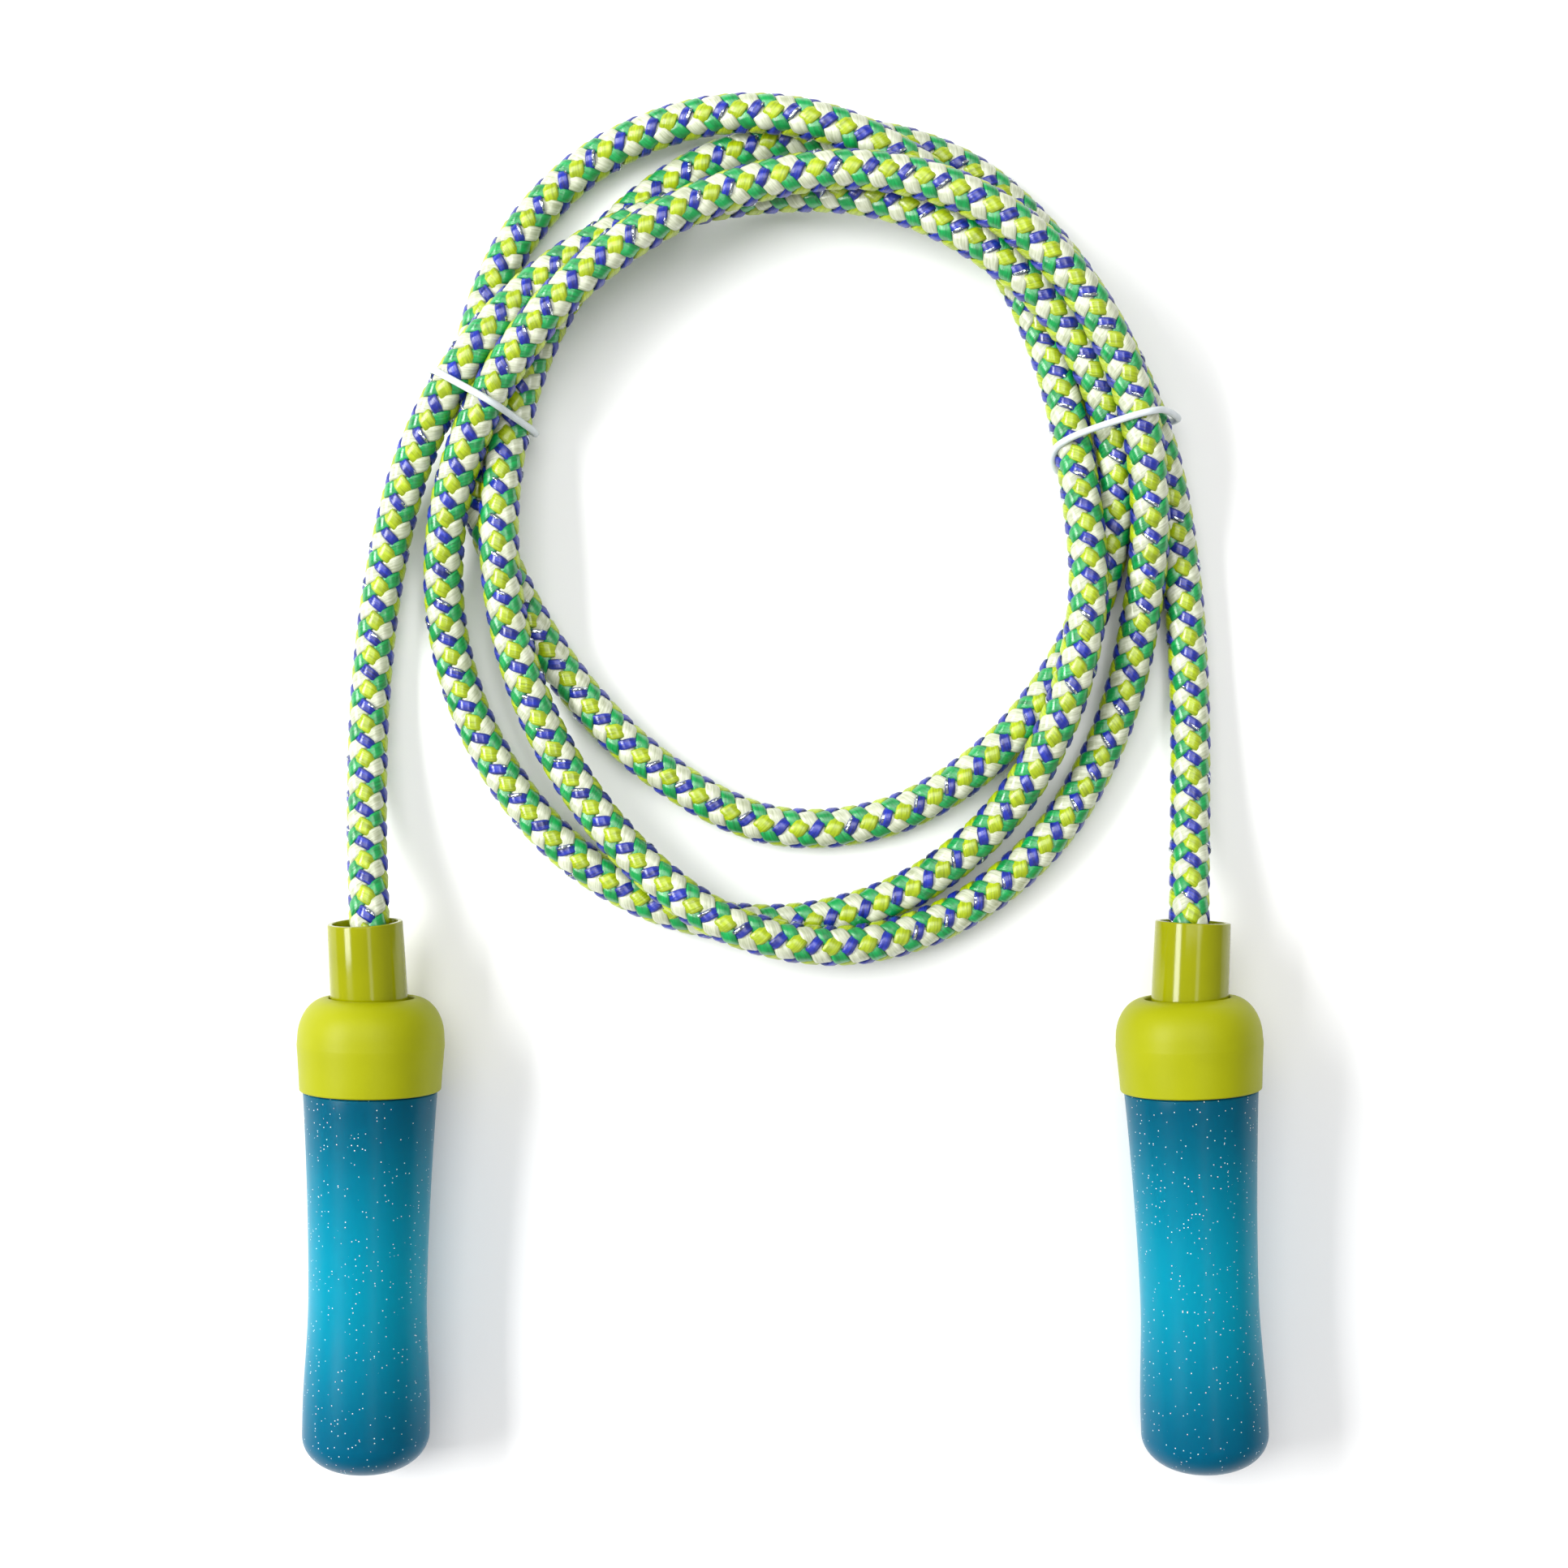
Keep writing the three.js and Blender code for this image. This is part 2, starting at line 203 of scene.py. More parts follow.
def filament_polyester(name, light, shade, roughness=0.3, sheen=0.04):
    material, tree = new_material(name)
    place = add(tree, "ShaderNodeUVMap", uv_map="along_and_round").outputs["UV"]
    stretch = (1 / FIBRE_LENGTH, 1 / FIBRE_SPACING, 1)
    fibres = add(tree, "ShaderNodeMapping", {"Vector": place, "Scale": stretch})
    grain = add(
        tree,
        "ShaderNodeTexNoise",
        {"Vector": fibres.outputs["Vector"], "Scale": 1.0, "Detail": 2.0},
    )
    clumps = add(tree, "ShaderNodeMapping", {"Vector": place, "Scale": (0.12, 0.9, 1)})
    bundles = add(tree, "ShaderNodeTexNoise", {"Vector": clumps.outputs["Vector"], "Scale": 1.0})
    mixed = add(
        tree,
        "ShaderNodeMath",
        {0: grain.outputs["Fac"], 1: bundles.outputs["Fac"]},
        operation="ADD",
    )
    tone = add(
        tree,
        "ShaderNodeMapRange",
        {"Value": mixed.outputs["Value"], "From Min": 0.75, "From Max": 1.25},
    )
    colour = add(
        tree,
        "ShaderNodeMix",
        {"Factor": tone.outputs["Result"], "A": linear(shade), "B": linear(light)},
        data_type="RGBA",
    )
    relief = add(
        tree,
        "ShaderNodeBump",
        {"Height": grain.outputs["Fac"], "Strength": 0.55, "Distance": 0.14 * MM},
    )
    lay = add(tree, "ShaderNodeTangent", direction_type="UV_MAP", uv_map="along_and_round")
    surface = add(
        tree,
        "ShaderNodeBsdfPrincipled",
        {
            "Base Color": colour.outputs["Result"],
            "Roughness": roughness,
            "IOR": 1.57,
            "Specular IOR Level": 0.85,
            "Anisotropic": 0.85,
            "Anisotropic Rotation": 0.25,
            "Tangent": lay.outputs["Tangent"],
            "Sheen Weight": sheen,
            "Sheen Roughness": 0.4,
            "Sheen Tint": linear(light),
        },
    )
    finish_material(tree, surface, relief.outputs["Normal"])
    return material


core_rings = np.linspace(0, rope_length, 1400)
core_turn = np.linspace(0, 2 * np.pi, 20, endpoint=False)
core_grid = on_rope(
    np.repeat(core_rings[:, None], len(core_turn), 1),
    np.repeat(core_turn[None, :], len(core_rings), 0),
    np.full((len(core_rings), len(core_turn)), CORE_RADIUS),
)
core_uv = (core_rings / MM, np.arange(len(core_turn) + 1) * CORE_RADIUS / MM * 0.314)
rope_core = skin("rope_core", core_grid, core_uv)
rope_core.data.materials.append(filament_polyester("core_yarn_polyester", "#b9c3a0", "#8f9a70"))
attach(rope_core, "rope_coil")
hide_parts("rope")

# ---------------------------------------------------------------- rope: the eight braided strands
# The cover is a diamond braid of eight flat strands, each over one and under one. Four lean
# one way, blue and yellow by turns. The other four, green and white, lean the other way.
BRAID_PITCH = 17.2 * MM  # one strand's full turn round the rope
BRAID_RADIUS = 4.12 * MM
STRAND_RINGS = 15  # per quarter turn
OVER_UNDER = 0.45 * MM
HOLD = 0.7  # how long a strand stays fully over or under
STRANDS = {  # colour: half width, half thickness, leaning, quarter turns at the start
    "blue": (1.3, 0.42, -1, (0, 2)),
    "yellow": (1.95, 0.4, -1, (1, 3)),
    "white": (2.0, 0.42, 1, (0, 2)),
    "green": (1.75, 0.42, 1, (1, 3)),
}
STRAND_COLOURS = {
    "blue": ("#1730b4", "#081262"),
    "yellow": ("#b8cf0c", "#869a00"),
    "white": ("#d8dcc6", "#a9b08e"),
    "green": ("#00a852", "#007236"),
}
strand_turn = np.pi * 2 / BRAID_PITCH


def strand(name, lean, quarter, half_width, half_thickness, sideways=0, outwards=0, round_by=10):
    """A flat strand wound round the rope: its angle grows by one turn per pitch, its radius
    rises and dips by OVER_UNDER times tanh(HOLD cos 4 turn), and its section is a flattened
    superellipse laid out on the unrolled rope, square to the strand."""
    samples = int(rope_length / BRAID_PITCH * 4 * STRAND_RINGS)
    along = np.linspace(2 * MM, rope_length - 2 * MM, samples)
    angle = lean * strand_turn * along + quarter * np.pi / 2
    wave = -lean * np.tanh(HOLD * np.cos(4 * strand_turn * along)) / np.tanh(HOLD)
    radius = BRAID_RADIUS + OVER_UNDER * wave + outwards
    unrolled = BRAID_RADIUS * 1.15
    steepness = np.arctan(strand_turn * unrolled)
    turn = np.linspace(0, 2 * np.pi, round_by, endpoint=False)
    across = np.sign(np.cos(turn)) * np.abs(np.cos(turn)) ** 0.45 * half_width
    off = across[None, :] + np.broadcast_to(np.asarray(sideways), samples)[:, None]
    rise = (np.sign(np.sin(turn)) * np.abs(np.sin(turn)) ** 0.45)[None, :] * half_thickness
    grid = on_rope(
        along[:, None] + off * np.sin(steepness),
        angle[:, None] - lean * off * np.cos(steepness) / unrolled,
        radius[:, None] + rise - 0.3 * off**2 / BRAID_RADIUS,
    )
    path = along * np.hypot(1, strand_turn * BRAID_RADIUS)
    rim = np.linspace(0, 2 * np.pi, round_by + 1) * half_width / MM
    return skin(name, grid, (path / MM, rim))


for colour, (half_width, half_thickness, lean, quarters) in STRANDS.items():
    polyester = filament_polyester(f"{colour}_filament_polyester", *STRAND_COLOURS[colour])
    for number, quarter in enumerate(quarters, 1):
        piece = strand(
            f"strand_{colour}_{number}", lean, quarter, half_width * MM, half_thickness * MM
        )
        piece.data.materials.append(polyester)
        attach(piece, "rope_coil")

# Tinsel: a narrow strip of silver-coated polyester film, laid into the braid with each blue
# strand. It is creased and rises and sinks, so it glints at some crossings and hides at most.
TINSEL_WIDTH = 0.7 * MM
TINSEL_THICKNESS = 0.12 * MM
silver_film, film = new_material("silver_coated_polyester_film")
film_place = add(film, "ShaderNodeUVMap", uv_map="along_and_round").outputs["UV"]
creases = add(film, "ShaderNodeTexVoronoi", {"Vector": film_place, "Scale": 1.3})
crumple = add(
    film,
    "ShaderNodeBump",
    {"Height": creases.outputs["Distance"], "Strength": 0.9, "Distance": 0.3 * MM},
)
film_surface = add(
    film,
    "ShaderNodeBsdfPrincipled",
    {"Base Color": linear("#c3cad2"), "Metallic": 1.0, "Roughness": 0.14},
)
finish_material(film, film_surface, crumple.outputs["Normal"])
for number, quarter in enumerate(STRANDS["blue"][3], 1):
    samples = int(rope_length / BRAID_PITCH * 4 * STRAND_RINGS)
    wander = np.sin(np.linspace(0, 1301 + 7 * number, samples)) + np.sin(
        np.linspace(0, 2303 + 11 * number, samples) + number
    )
    depth = (0.1 + 0.22 * wander) * MM
    piece = strand(
        f"tinsel_{number}", -1, quarter, TINSEL_WIDTH / 2, TINSEL_THICKNESS, 0.8 * MM, depth, 6
    )
    piece.data.materials.append(silver_film)
    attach(piece, "rope_coil")


# ---------------------------------------------------------------- handles: where they lie
# Both handles lie on the ground on their cap and their butt, a little turned. The handle's own
# axis is +Y, with height 0 at the butt. The nozzle leans in the play of the cap's hole.
HANDLE_Y = 37.9
HANDLE_PITCH = np.radians(1.3557)
CAP_RADIUS = 17.4
WIDEST_CAP = 104.2  # height where the cap touches the ground
NOZZLE_PIVOT = 112.3  # height about which the nozzle leans
SIDES = {
    "left": {"x": -98.8, "yaw": -0.95, "shift": -0.5, "lean": 3.3, "lift": 3},
    "right": {"x": 96.9, "yaw": 2.5, "shift": 0.5, "lean": -4.7, "lift": -1},
}


def turn_and_place(where, tilt, yaw):
    """A turn of tilt about X, then yaw about Z, then a move to where, in millimetres."""
    turn = Euler((tilt, 0, yaw), "XYZ").to_matrix().to_4x4()
    return Matrix.Translation(Vector(where) * MM) @ turn


def handle_place(side):
    lie = SIDES[side]
    middle = (lie["x"], HANDLE_Y, CAP_RADIUS / np.cos(HANDLE_PITCH))
    back = Matrix.Translation((0, -WIDEST_CAP * MM, 0))
    return turn_and_place(middle, HANDLE_PITCH, np.radians(lie["yaw"])) @ back


def nozzle_place(side):
    lie = SIDES[side]
    lean = turn_and_place(
        (lie["shift"], NOZZLE_PIVOT, 0), np.radians(lie["lift"]), np.radians(lie["lean"])
    )
    return handle_place(side) @ lean


def arc(centre, radius, start, end, steps=8):
    """Points [radius, height] on an arc about centre, from one angle to another, in degrees."""
    angle = np.radians(np.linspace(start, end, steps))
    return np.stack([centre[0] + radius * np.cos(angle), centre[1] + radius * np.sin(angle)], -1)


def turned(name, profile, place, segments=96, loop=True):
    """A profile of [radius, height] pairs in millimetres, turned about +Y: x = radius cos turn,
    y = height, z = radius sin turn. It closes on itself with loop, or ends on the axis."""
    outline = np.concatenate([np.atleast_2d(np.asarray(step, float)) for step in profile])
    turn = np.linspace(0, 2 * np.pi, segments, endpoint=False)
    radius, height = outline[:, :1], np.repeat(outline[:, 1:], segments, 1)
    grid = np.stack([radius * np.cos(turn), height, radius * np.sin(turn)], -1) * MM
    to_place = np.array(place)
    grid = grid @ to_place[:3, :3].T + to_place[:3, 3]
    uv = (np.append(outline[:, 1], outline[0, 1]), np.linspace(0, 1, segments + 1) * 94)
    piece = skin(name, grid, uv, loop=loop, closed_ends=False)
    piece.data.set_sharp_from_angle(angle=np.radians(38))
    return piece


# ---------------------------------------------------------------- knots
# Each end of the rope is pulled into an overhand knot behind the nozzle. It is wider than the
# nozzle's bore, so it holds the handle on. It is made of the same cord, squeezed tight.
KNOT_MIDDLE = -10.45
KNOT_SPREAD = 3.6
KNOT_RISE = 2.6
KNOT_YARN_RADIUS = 2.3


def overhand_knot(name, place):
    """A tube round a trefoil: x and z follow (1 + 0.42 cos 3t) times (cos 2t, sin 2t), and the
    height follows sin 3t."""
    t = np.linspace(0, 2 * np.pi, 160, endpoint=False)
    swing = KNOT_SPREAD * (1 + 0.42 * np.cos(3 * t))
    height = KNOT_MIDDLE + KNOT_RISE * np.sin(3 * t)
    line = np.stack([swing * np.cos(2 * t), height, swing * np.sin(2 * t)], -1)
    return closed_tube(name, line * MM, KNOT_YARN_RADIUS * MM, 14, place)


def closed_tube(name, line, radius, sides, place=None):
    """A tube round a closed line of points. Each ring is square to the line there, and is set
    out from the direction away from the line's middle."""
    ahead = np.roll(line, -1, 0) - np.roll(line, 1, 0)
    ahead /= np.linalg.norm(ahead, axis=1, keepdims=True)
    outward = line - line.mean(0)
    outward -= (outward * ahead).sum(1, keepdims=True) * ahead
    outward /= np.linalg.norm(outward, axis=1, keepdims=True)
    side = np.cross(ahead, outward)
    turn = np.linspace(0, 2 * np.pi, sides, endpoint=False)[None, :, None]
    ring = np.cos(turn) * outward[:, None] + np.sin(turn) * side[:, None]
    grid = line[:, None] + np.reshape(radius, (-1, 1, 1)) * ring
    if place is not None:
        to_place = np.array(place)
        grid = grid @ to_place[:3, :3].T + to_place[:3, 3]
    path = length_along(np.concatenate([line, line[:1]]))
    around = np.linspace(0, 2 * np.pi, sides + 1) * np.mean(radius)
    return skin(name, grid, (path / MM, around / MM), loop=True)


knot_polyester = filament_polyester("knotted_filament_polyester", "#e9ecc8", "#a9bd5a")
for side in SIDES:
    knot = overhand_knot(f"overhand_knot_{side}", nozzle_place(side))
    knot.data.materials.append(knot_polyester)
    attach(knot, "rope_coil")
    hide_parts(f"knot_{side}")

# ---------------------------------------------------------------- ties
# Two loops of clear polyethylene thread hold the coil together. Each is pulled round the four
# runs of rope at its side and welded to itself. The right one stands off at one end.
TIE_RADIUS = 0.85
TIE_GAP = 0.2
TIE_REACH = 24
TIES = {
    "left": {"x": -72.6, "y": 190.8, "angle": -30, "slack": 0, "slip": 0},
    "right": {"x": 80.9, "y": 185.3, "angle": 14, "slack": 1.5, "slip": 13},
}
TIE_HOOK = 2.6  # how far the standing-off end comes back to one side


def outline_round(points):
    """The convex outline of points in a plane: for each of 240 directions, the point that
    reaches furthest that way."""
    angle = np.linspace(0, 2 * np.pi, 240, endpoint=False)
    directions = np.stack([np.cos(angle), np.sin(angle)])
    return points[np.argmax(points @ directions, axis=0)]


def even(line, count):
    """The same closed line with count points, evenly spaced, then smoothed over its neighbours."""
    closed = np.concatenate([line, line[:1]])
    along = length_along(closed)
    at = np.linspace(0, along[-1], count, endpoint=False)
    out = np.stack([np.interp(at, along, closed[:, k]) for k in range(line.shape[1])], -1)
    for _ in range(4):
        out = (np.roll(out, 1, 0) + 2 * out + np.roll(out, -1, 0)) / 4
    return out


def tie_loop(x, y, angle, slack, slip):
    """The line of a tie, in millimetres: the outline round circles on every run of rope that
    crosses its plane. The lower left side of a loose one slips sideways, by slip at most, and
    the end that stands off comes back by TIE_HOOK."""
    run = rope_line / MM
    along_tie = np.array([np.cos(np.radians(angle)), np.sin(np.radians(angle))])
    across_tie = np.array([-along_tie[1], along_tie[0]])
    offset = run[:, :2] - (x, y)
    s = offset @ along_tie
    v = offset @ across_tie
    crossing = np.flatnonzero((v[1:] * v[:-1] <= 0) & (np.abs(s[1:]) < TIE_REACH)) + 1
    step_s, step_v = s[crossing] - s[crossing - 1], v[crossing] - v[crossing - 1]
    slant = np.hypot(step_s, step_v) / np.abs(step_v)
    rim = ROPE_DIAMETER / MM / 2 + TIE_GAP + TIE_RADIUS
    turn = np.linspace(0, 2 * np.pi, 64, endpoint=False)
    circles_s = s[crossing][:, None] + rim * slant[:, None] * np.cos(turn)
    circles_z = run[crossing, 2][:, None] + rim * np.sin(turn)
    points = np.stack([circles_s.ravel(), circles_z.ravel()], -1)
    points = np.concatenate([points, [[points[:, 0].max() + slack, 6.3]]])
    loop = even(outline_round(points), 180)
    s, z = loop[:, 0], loop[:, 1]
    low = np.clip(1 - (z - z.min()) / (z.max() - z.min()), 0, 1)
    left = np.clip((s.max() - s) / (s.max() - s.min()), 0, 1)
    v = -slip * low**3 * left**3 - (slack > 0) * TIE_HOOK * low**2 * (1 - left) ** 4
    place = np.outer(s, along_tie) + np.outer(v, across_tie) + (x, y)
    return np.column_stack([place, z])


clear_thread, thread = new_material("clear_polyethylene_thread")
# Clear polyethylene looks milky: it lets some light through and has a soft, waxy gloss.
thread_haze = add(
    thread,
    "ShaderNodeTexNoise",
    {
        "Vector": add(thread, "ShaderNodeTexCoord").outputs["Object"],
        "Scale": 1 / (4 * MM),
    },
)
thread_colour = add(
    thread,
    "ShaderNodeMix",
    {"Factor": thread_haze.outputs["Fac"], "A": linear("#cbd6da"), "B": linear("#eef3f5")},
    data_type="RGBA",
)
thread_surface = add(
    thread,
    "ShaderNodeBsdfPrincipled",
    {
        "Base Color": thread_colour.outputs["Result"],
        "Roughness": 0.32,
        "IOR": 1.51,
        "Transmission Weight": 0.1,
    },
)
finish_material(thread, thread_surface)
for side, tie in TIES.items():
    loop = closed_tube(f"thread_tie_{side}", tie_loop(**tie) * MM, TIE_RADIUS * MM, 12)
    loop.data.materials.append(clear_thread)
    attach(loop, "rope_coil")
    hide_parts(f"tie_{side}")

# ---------------------------------------------------------------- nozzles
# The swivel that the rope comes out of: a slightly tapered tube with an open, rounded mouth
# and a flange at its foot, injection moulded in glossy lime polypropylene.
MOUTH_HEIGHT = 19.6  # from the pivot
MOUTH_RADIUS = 8.95
BASE_RADIUS = 9.2
MOUTH_WALL = 1.2
NOZZLE_BORE = 5.4
FLANGE_RADIUS = 12.4
FLANGE_TOP = -2.9
FLANGE_FOOT = -4.9

gloss_polypropylene, glossy = new_material("glossy_lime_polypropylene")
# Straight from a polished mould: a hard, even gloss with very faint waves, and no grain.
waves = add(
    glossy,
    "ShaderNodeTexNoise",
    {
        "Vector": add(glossy, "ShaderNodeTexCoord").outputs["Object"],
        "Scale": 1 / (9 * MM),
        "Detail": 1.0,
    },
)
tint = add(
    glossy,
    "ShaderNodeMix",
    {"Factor": waves.outputs["Fac"], "A": linear("#868900"), "B": linear("#929500")},
    data_type="RGBA",
)
sink_marks = add(
    glossy,
    "ShaderNodeBump",
    {"Height": waves.outputs["Fac"], "Strength": 0.012, "Distance": 0.3 * MM},
)
glossy_surface = add(
    glossy,
    "ShaderNodeBsdfPrincipled",
    {
        "Base Color": tint.outputs["Result"],
        "Roughness": 0.13,
        "IOR": 1.49,
        "Specular IOR Level": 0.35,
        "Subsurface Weight": 0.12,
        "Subsurface Radius": (1.0, 1.0, 0.2),
        "Subsurface Scale": 1.5 * MM,
    },
)
finish_material(glossy, glossy_surface, sink_marks.outputs["Normal"])
for side in SIDES:
    lip = MOUTH_WALL / 2
    profile = [
        (NOZZLE_BORE, FLANGE_FOOT),
        arc((FLANGE_RADIUS - 0.4, FLANGE_FOOT + 0.4), 0.4, -90, 0),
        arc((FLANGE_RADIUS - 0.4, FLANGE_TOP - 0.4), 0.4, 0, 90),
        (BASE_RADIUS, FLANGE_TOP),
        (BASE_RADIUS - 0.1, (MOUTH_HEIGHT + FLANGE_TOP) / 2),
        arc((MOUTH_RADIUS - 0.35, MOUTH_HEIGHT - 0.35), 0.35, 0, 90),
        arc((MOUTH_RADIUS - MOUTH_WALL + 0.25, MOUTH_HEIGHT - 0.25), 0.25, 90, 180),
        (NOZZLE_BORE + 0.9, MOUTH_HEIGHT * 0.4),
        (NOZZLE_BORE, FLANGE_TOP),
    ]
    nozzle = turned(f"swivel_nozzle_{side}", profile, nozzle_place(side))
    nozzle.data.materials.append(gloss_polypropylene)
    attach(nozzle, "rope_coil")
    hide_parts(f"nozzle_{side}")

# ---------------------------------------------------------------- caps
# The bell-shaped collar that closes the handle and keeps the nozzle's flange in. Soft lime
# polyethylene with a fine matt finish, snapped over the grip's neck, with a mould line.
CAP_FOOT = 91.6
CAP_TOP = 113.8
CAP_SKIRT_RADIUS = 16.8
CAP_HOLE_RADIUS = 10.1
CAP_INNER_RADIUS = 14.4
CAP_TOP_WALL = 3
SHOULDER_HEIGHT = 9.6
MOULD_LINE = 102.6
MOULD_STEP = 0.24
BLAST_GRAIN = 0.5

soft_polyethylene, matt = new_material("matt_lime_polyethylene")
# Low-density polyethylene from a lightly blasted mould: waxy, with a broad soft highlight.
matt_place = add(matt, "ShaderNodeTexCoord").outputs["Object"]
blast = add(
    matt,
    "ShaderNodeTexNoise",
    {"Vector": matt_place, "Scale": 1 / (BLAST_GRAIN * MM), "Detail": 2.0},
)
cloud = add(matt, "ShaderNodeTexNoise", {"Vector": matt_place, "Scale": 1 / (14 * MM)})
lime = add(
    matt,
    "ShaderNodeMix",
    {"Factor": cloud.outputs["Fac"], "A": linear("#969a00"), "B": linear("#a4a800")},
    data_type="RGBA",
)
texture = add(
    matt,
    "ShaderNodeBump",
    {"Height": blast.outputs["Fac"], "Strength": 0.12, "Distance": 0.15 * MM},
)
matt_surface = add(
    matt,
    "ShaderNodeBsdfPrincipled",
    {
        "Base Color": lime.outputs["Result"],
        "Roughness": 0.46,
        "IOR": 1.51,
        "Specular IOR Level": 0.2,
        "Subsurface Weight": 0.15,
        "Subsurface Radius": (1.0, 1.0, 0.2),
        "Subsurface Scale": 2 * MM,
    },
)
finish_material(matt, matt_surface, texture.outputs["Normal"])
for side in SIDES:
    steps = np.radians(np.linspace(0, 84, 22))
    reach = CAP_RADIUS - CAP_HOLE_RADIUS - 0.3
    shoulder = np.stack(
        [
            CAP_HOLE_RADIUS + 0.3 + reach * np.cos(steps),
            CAP_TOP - SHOULDER_HEIGHT + SHOULDER_HEIGHT * np.sin(steps),
        ],
        -1,
    )
    profile = [
        (CAP_INNER_RADIUS, CAP_FOOT),
        arc((CAP_SKIRT_RADIUS - 0.5, CAP_FOOT + 0.5), 0.5, -90, 0),
        (CAP_SKIRT_RADIUS + 0.2, CAP_FOOT + 4),
        (CAP_RADIUS - 0.05, MOULD_LINE - 2),
        (CAP_RADIUS + MOULD_STEP / 2, MOULD_LINE - 0.12),
        (CAP_RADIUS + MOULD_STEP / 2, MOULD_LINE + 0.12),
        shoulder,
        arc((CAP_HOLE_RADIUS + 0.5, CAP_TOP - 0.5), 0.5, 80, 180),
        (CAP_HOLE_RADIUS, CAP_TOP - CAP_TOP_WALL),
        (CAP_INNER_RADIUS, CAP_TOP - CAP_TOP_WALL),
    ]
    cap = turned(f"collar_cap_{side}", profile, handle_place(side), segments=112)
    cap.data.materials.append(soft_polyethylene)
    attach(cap, f"{side}_handle")
    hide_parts(f"cap_{side}")

# ---------------------------------------------------------------- grips
# The hollow handle: blow moulded in translucent turquoise polypropylene with fine silver
# glitter in it. It has a slight waist, a domed butt, and a plain neck under the cap.
GRIP_TOP = 91.3
BUTT_RADIUS = 15.15
WAIST_RADIUS = 14.05
TOP_RADIUS = 15.9
GRIP_WALL = 1.8
DOME_HEIGHT = 9.1
NECK_LENGTH = 13.2

glitter_polypropylene, glitter = new_material("translucent_glitter_polypropylene")
# Painted glow: the base colour is painted brighter in the middle and darker at both ends, for the
# light that goes through the thin middle of the tube and less through its thick ends.
# The glitter is flakes of film at all angles; the share that would catch the light is painted
# near-white in the base colour, as painted glints.
FLAKE_SPACING = 0.85  # mm
grip_place = add(glitter, "ShaderNodeTexCoord").outputs["Object"]
height = add(
    glitter,
    "ShaderNodeSeparateXYZ",
    {"Vector": add(glitter, "ShaderNodeUVMap", uv_map="along_and_round").outputs["UV"]},
).outputs["X"]
painted_glow_height = add(
    glitter,
    "ShaderNodeMapRange",
    {"Value": height, "From Min": 0.0, "From Max": GRIP_TOP},
)
# painted glow: this ramp paints the grip darker at both ends and brightest about the middle of its
# height
depth = add(glitter, "ShaderNodeValToRGB", {"Fac": painted_glow_height.outputs["Result"]})
ramp = depth.color_ramp
ramp.interpolation = "B_SPLINE"
for stop, shade in ((0.0, "#005270"), (0.22, "#006480"), (0.5, "#0098b2"), (0.8, "#006c86")):
    point = ramp.elements[0] if stop == 0.0 else ramp.elements.new(stop)
    point.position, point.color = stop, linear(shade)
ramp.elements[-1].color = linear("#004e68")
FLAKE_SIZE = 0.15  # radius, as a share of the spacing
PAINTED_GLINT_SHARE = 0.34  # the share of the flakes painted near-white, as painted glints
flakes = add(
    glitter,
    "ShaderNodeTexVoronoi",
    {"Vector": grip_place, "Scale": 1 / (FLAKE_SPACING * MM)},
)
near_flake = add(
    glitter,
    "ShaderNodeMath",
    {0: flakes.outputs["Distance"], 1: FLAKE_SIZE},
    operation="LESS_THAN",
)
flake_tilt = add(glitter, "ShaderNodeSeparateColor", {"Color": flakes.outputs["Color"]})
painted_glint_flakes = add(
    glitter,
    "ShaderNodeMath",
    {0: flake_tilt.outputs["Red"], 1: PAINTED_GLINT_SHARE},
    operation="LESS_THAN",
)
painted_glint_mask = add(
    glitter,
    "ShaderNodeMath",
    {0: near_flake.outputs["Value"], 1: painted_glint_flakes.outputs["Value"]},
    operation="MULTIPLY",
)
# painted glint: the real flakes that are picked get a near-white base colour that stands for their
# sparkle
painted_glint_colour = add(
    glitter,
    "ShaderNodeMix",
    {"Factor": painted_glint_mask.outputs["Value"], "A": depth.outputs["Color"], "B": linear("#f4ffff")},
    data_type="RGBA",
)
skin_waves = add(
    glitter, "ShaderNodeTexNoise", {"Vector": grip_place, "Scale": 1 / (7 * MM), "Detail": 2.0}
)
moulding = add(
    glitter,
    "ShaderNodeBump",
    {"Height": skin_waves.outputs["Fac"], "Strength": 0.1, "Distance": 0.3 * MM},
)
glitter_surface = add(
    glitter,
    "ShaderNodeBsdfPrincipled",
    {
        "Base Color": painted_glint_colour.outputs["Result"],
        "Roughness": 0.3,
        "IOR": 1.49,
        "Specular IOR Level": 0.1,
        "Subsurface Weight": 0.85,
        "Subsurface Radius": (0.2, 0.8, 1.0),
        "Subsurface Scale": 8 * MM,
    },
)
finish_material(glitter, glitter_surface, moulding.outputs["Normal"])
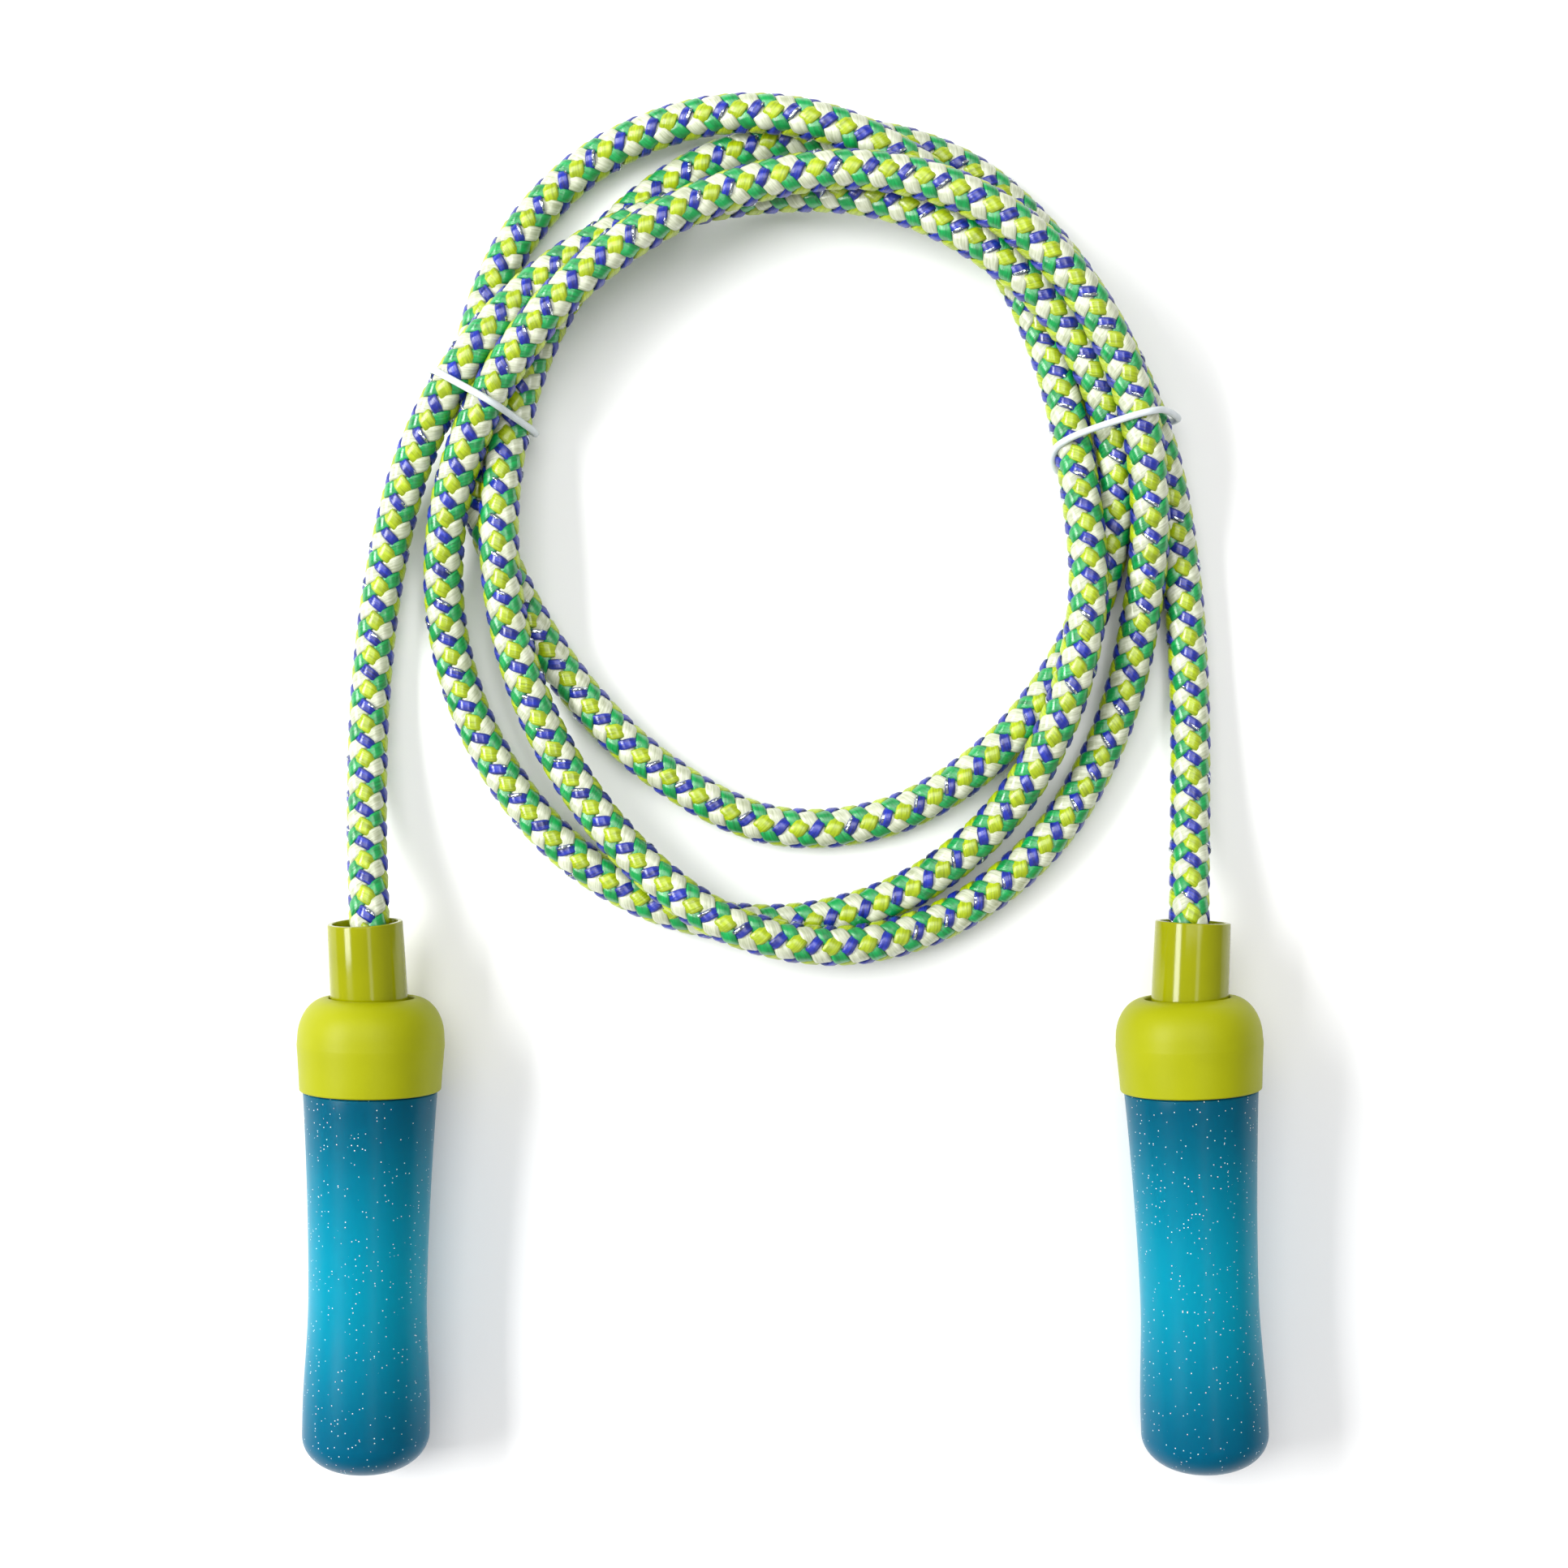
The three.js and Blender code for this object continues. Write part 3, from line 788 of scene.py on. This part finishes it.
for side in SIDES:
    steps = np.radians(np.linspace(0, 90, 30))
    dome = np.stack(
        [BUTT_RADIUS * np.sin(steps) ** 0.8, DOME_HEIGHT * (1 - np.cos(steps))], -1
    )
    waist = CAP_FOOT * 0.45
    t = np.linspace(0.1, 1, 14)
    ease = t * t * (3 - 2 * t)
    waisted = np.stack(
        [
            BUTT_RADIUS + (WAIST_RADIUS - BUTT_RADIUS) * ease,
            DOME_HEIGHT + 3 + (waist - DOME_HEIGHT - 3) * t,
        ],
        -1,
    )
    flare = np.stack(
        [WAIST_RADIUS + (TOP_RADIUS - WAIST_RADIUS) * t**1.7, waist + (GRIP_TOP - waist) * t], -1
    )
    neck = TOP_RADIUS - GRIP_WALL
    bore = neck - GRIP_WALL
    profile = [
        dome,
        waisted,
        flare[:-1],
        arc((TOP_RADIUS - 0.4, GRIP_TOP - 0.4), 0.4, 0, 90),
        (neck, GRIP_TOP),
        (neck, CAP_FOOT + NECK_LENGTH),
        (bore, CAP_FOOT + NECK_LENGTH),
        (bore, 80),
        (bore, 20),
        (bore * 0.7, 5),
        (0, GRIP_WALL),
    ]
    grip = turned(f"glitter_grip_{side}", profile, handle_place(side), segments=112, loop=False)
    grip.data.materials.append(glitter_polypropylene)
    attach(grip, f"{side}_handle")
    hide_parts(f"grip_{side}")

# ---------------------------------------------------------------- ground and light
# A plain pale studio floor. A long strip light hangs low on the left, along the handles, a
# weaker one hangs on the right, and a wide soft one over the coil.
floor_mesh = bpy.data.meshes.new("floor")
floor_mesh.from_pydata([(-4, -4, 0), (4, -4, 0), (4, 4, 0), (-4, 4, 0)], [], [(0, 1, 2, 3)])
floor = bpy.data.objects.new("floor", floor_mesh)
bpy.context.scene.collection.objects.link(floor)
pale_board, board = new_material("pale_studio_board")
board_surface = add(
    board, "ShaderNodeBsdfPrincipled", {"Base Color": linear("#fdfdfd"), "Roughness": 0.9}
)
finish_material(board, board_surface)
floor_mesh.materials.append(pale_board)

for name, where, length, width, power in (
    ("key", (-1.15, 0.4, 1.0), 1.2, 0.45, 29),
    ("fill", (0.3, 0.05, 1.15), 1.2, 0.2, 2),
    ("top", (0.0, 0.7, 1.3), 1.2, 1.2, 11),
):
    light = bpy.data.objects.new(name, bpy.data.lights.new(name, "AREA"))
    light.data.shape, light.data.size, light.data.size_y = "RECTANGLE", length, width
    light.data.energy = power
    light.location = where
    aim = Vector((0, where[1], 0)) - light.location
    light.rotation_euler = aim.to_track_quat("-Z", "Y").to_euler()
    bpy.context.scene.collection.objects.link(light)

world = bpy.data.worlds.new("studio")
bpy.context.scene.world = world
world.use_nodes = True
world.node_tree.nodes["Background"].inputs["Color"].default_value = (1, 1, 1, 1)
world.node_tree.nodes["Background"].inputs["Strength"].default_value = 0.34
bpy.context.scene.view_settings.view_transform = "Standard"
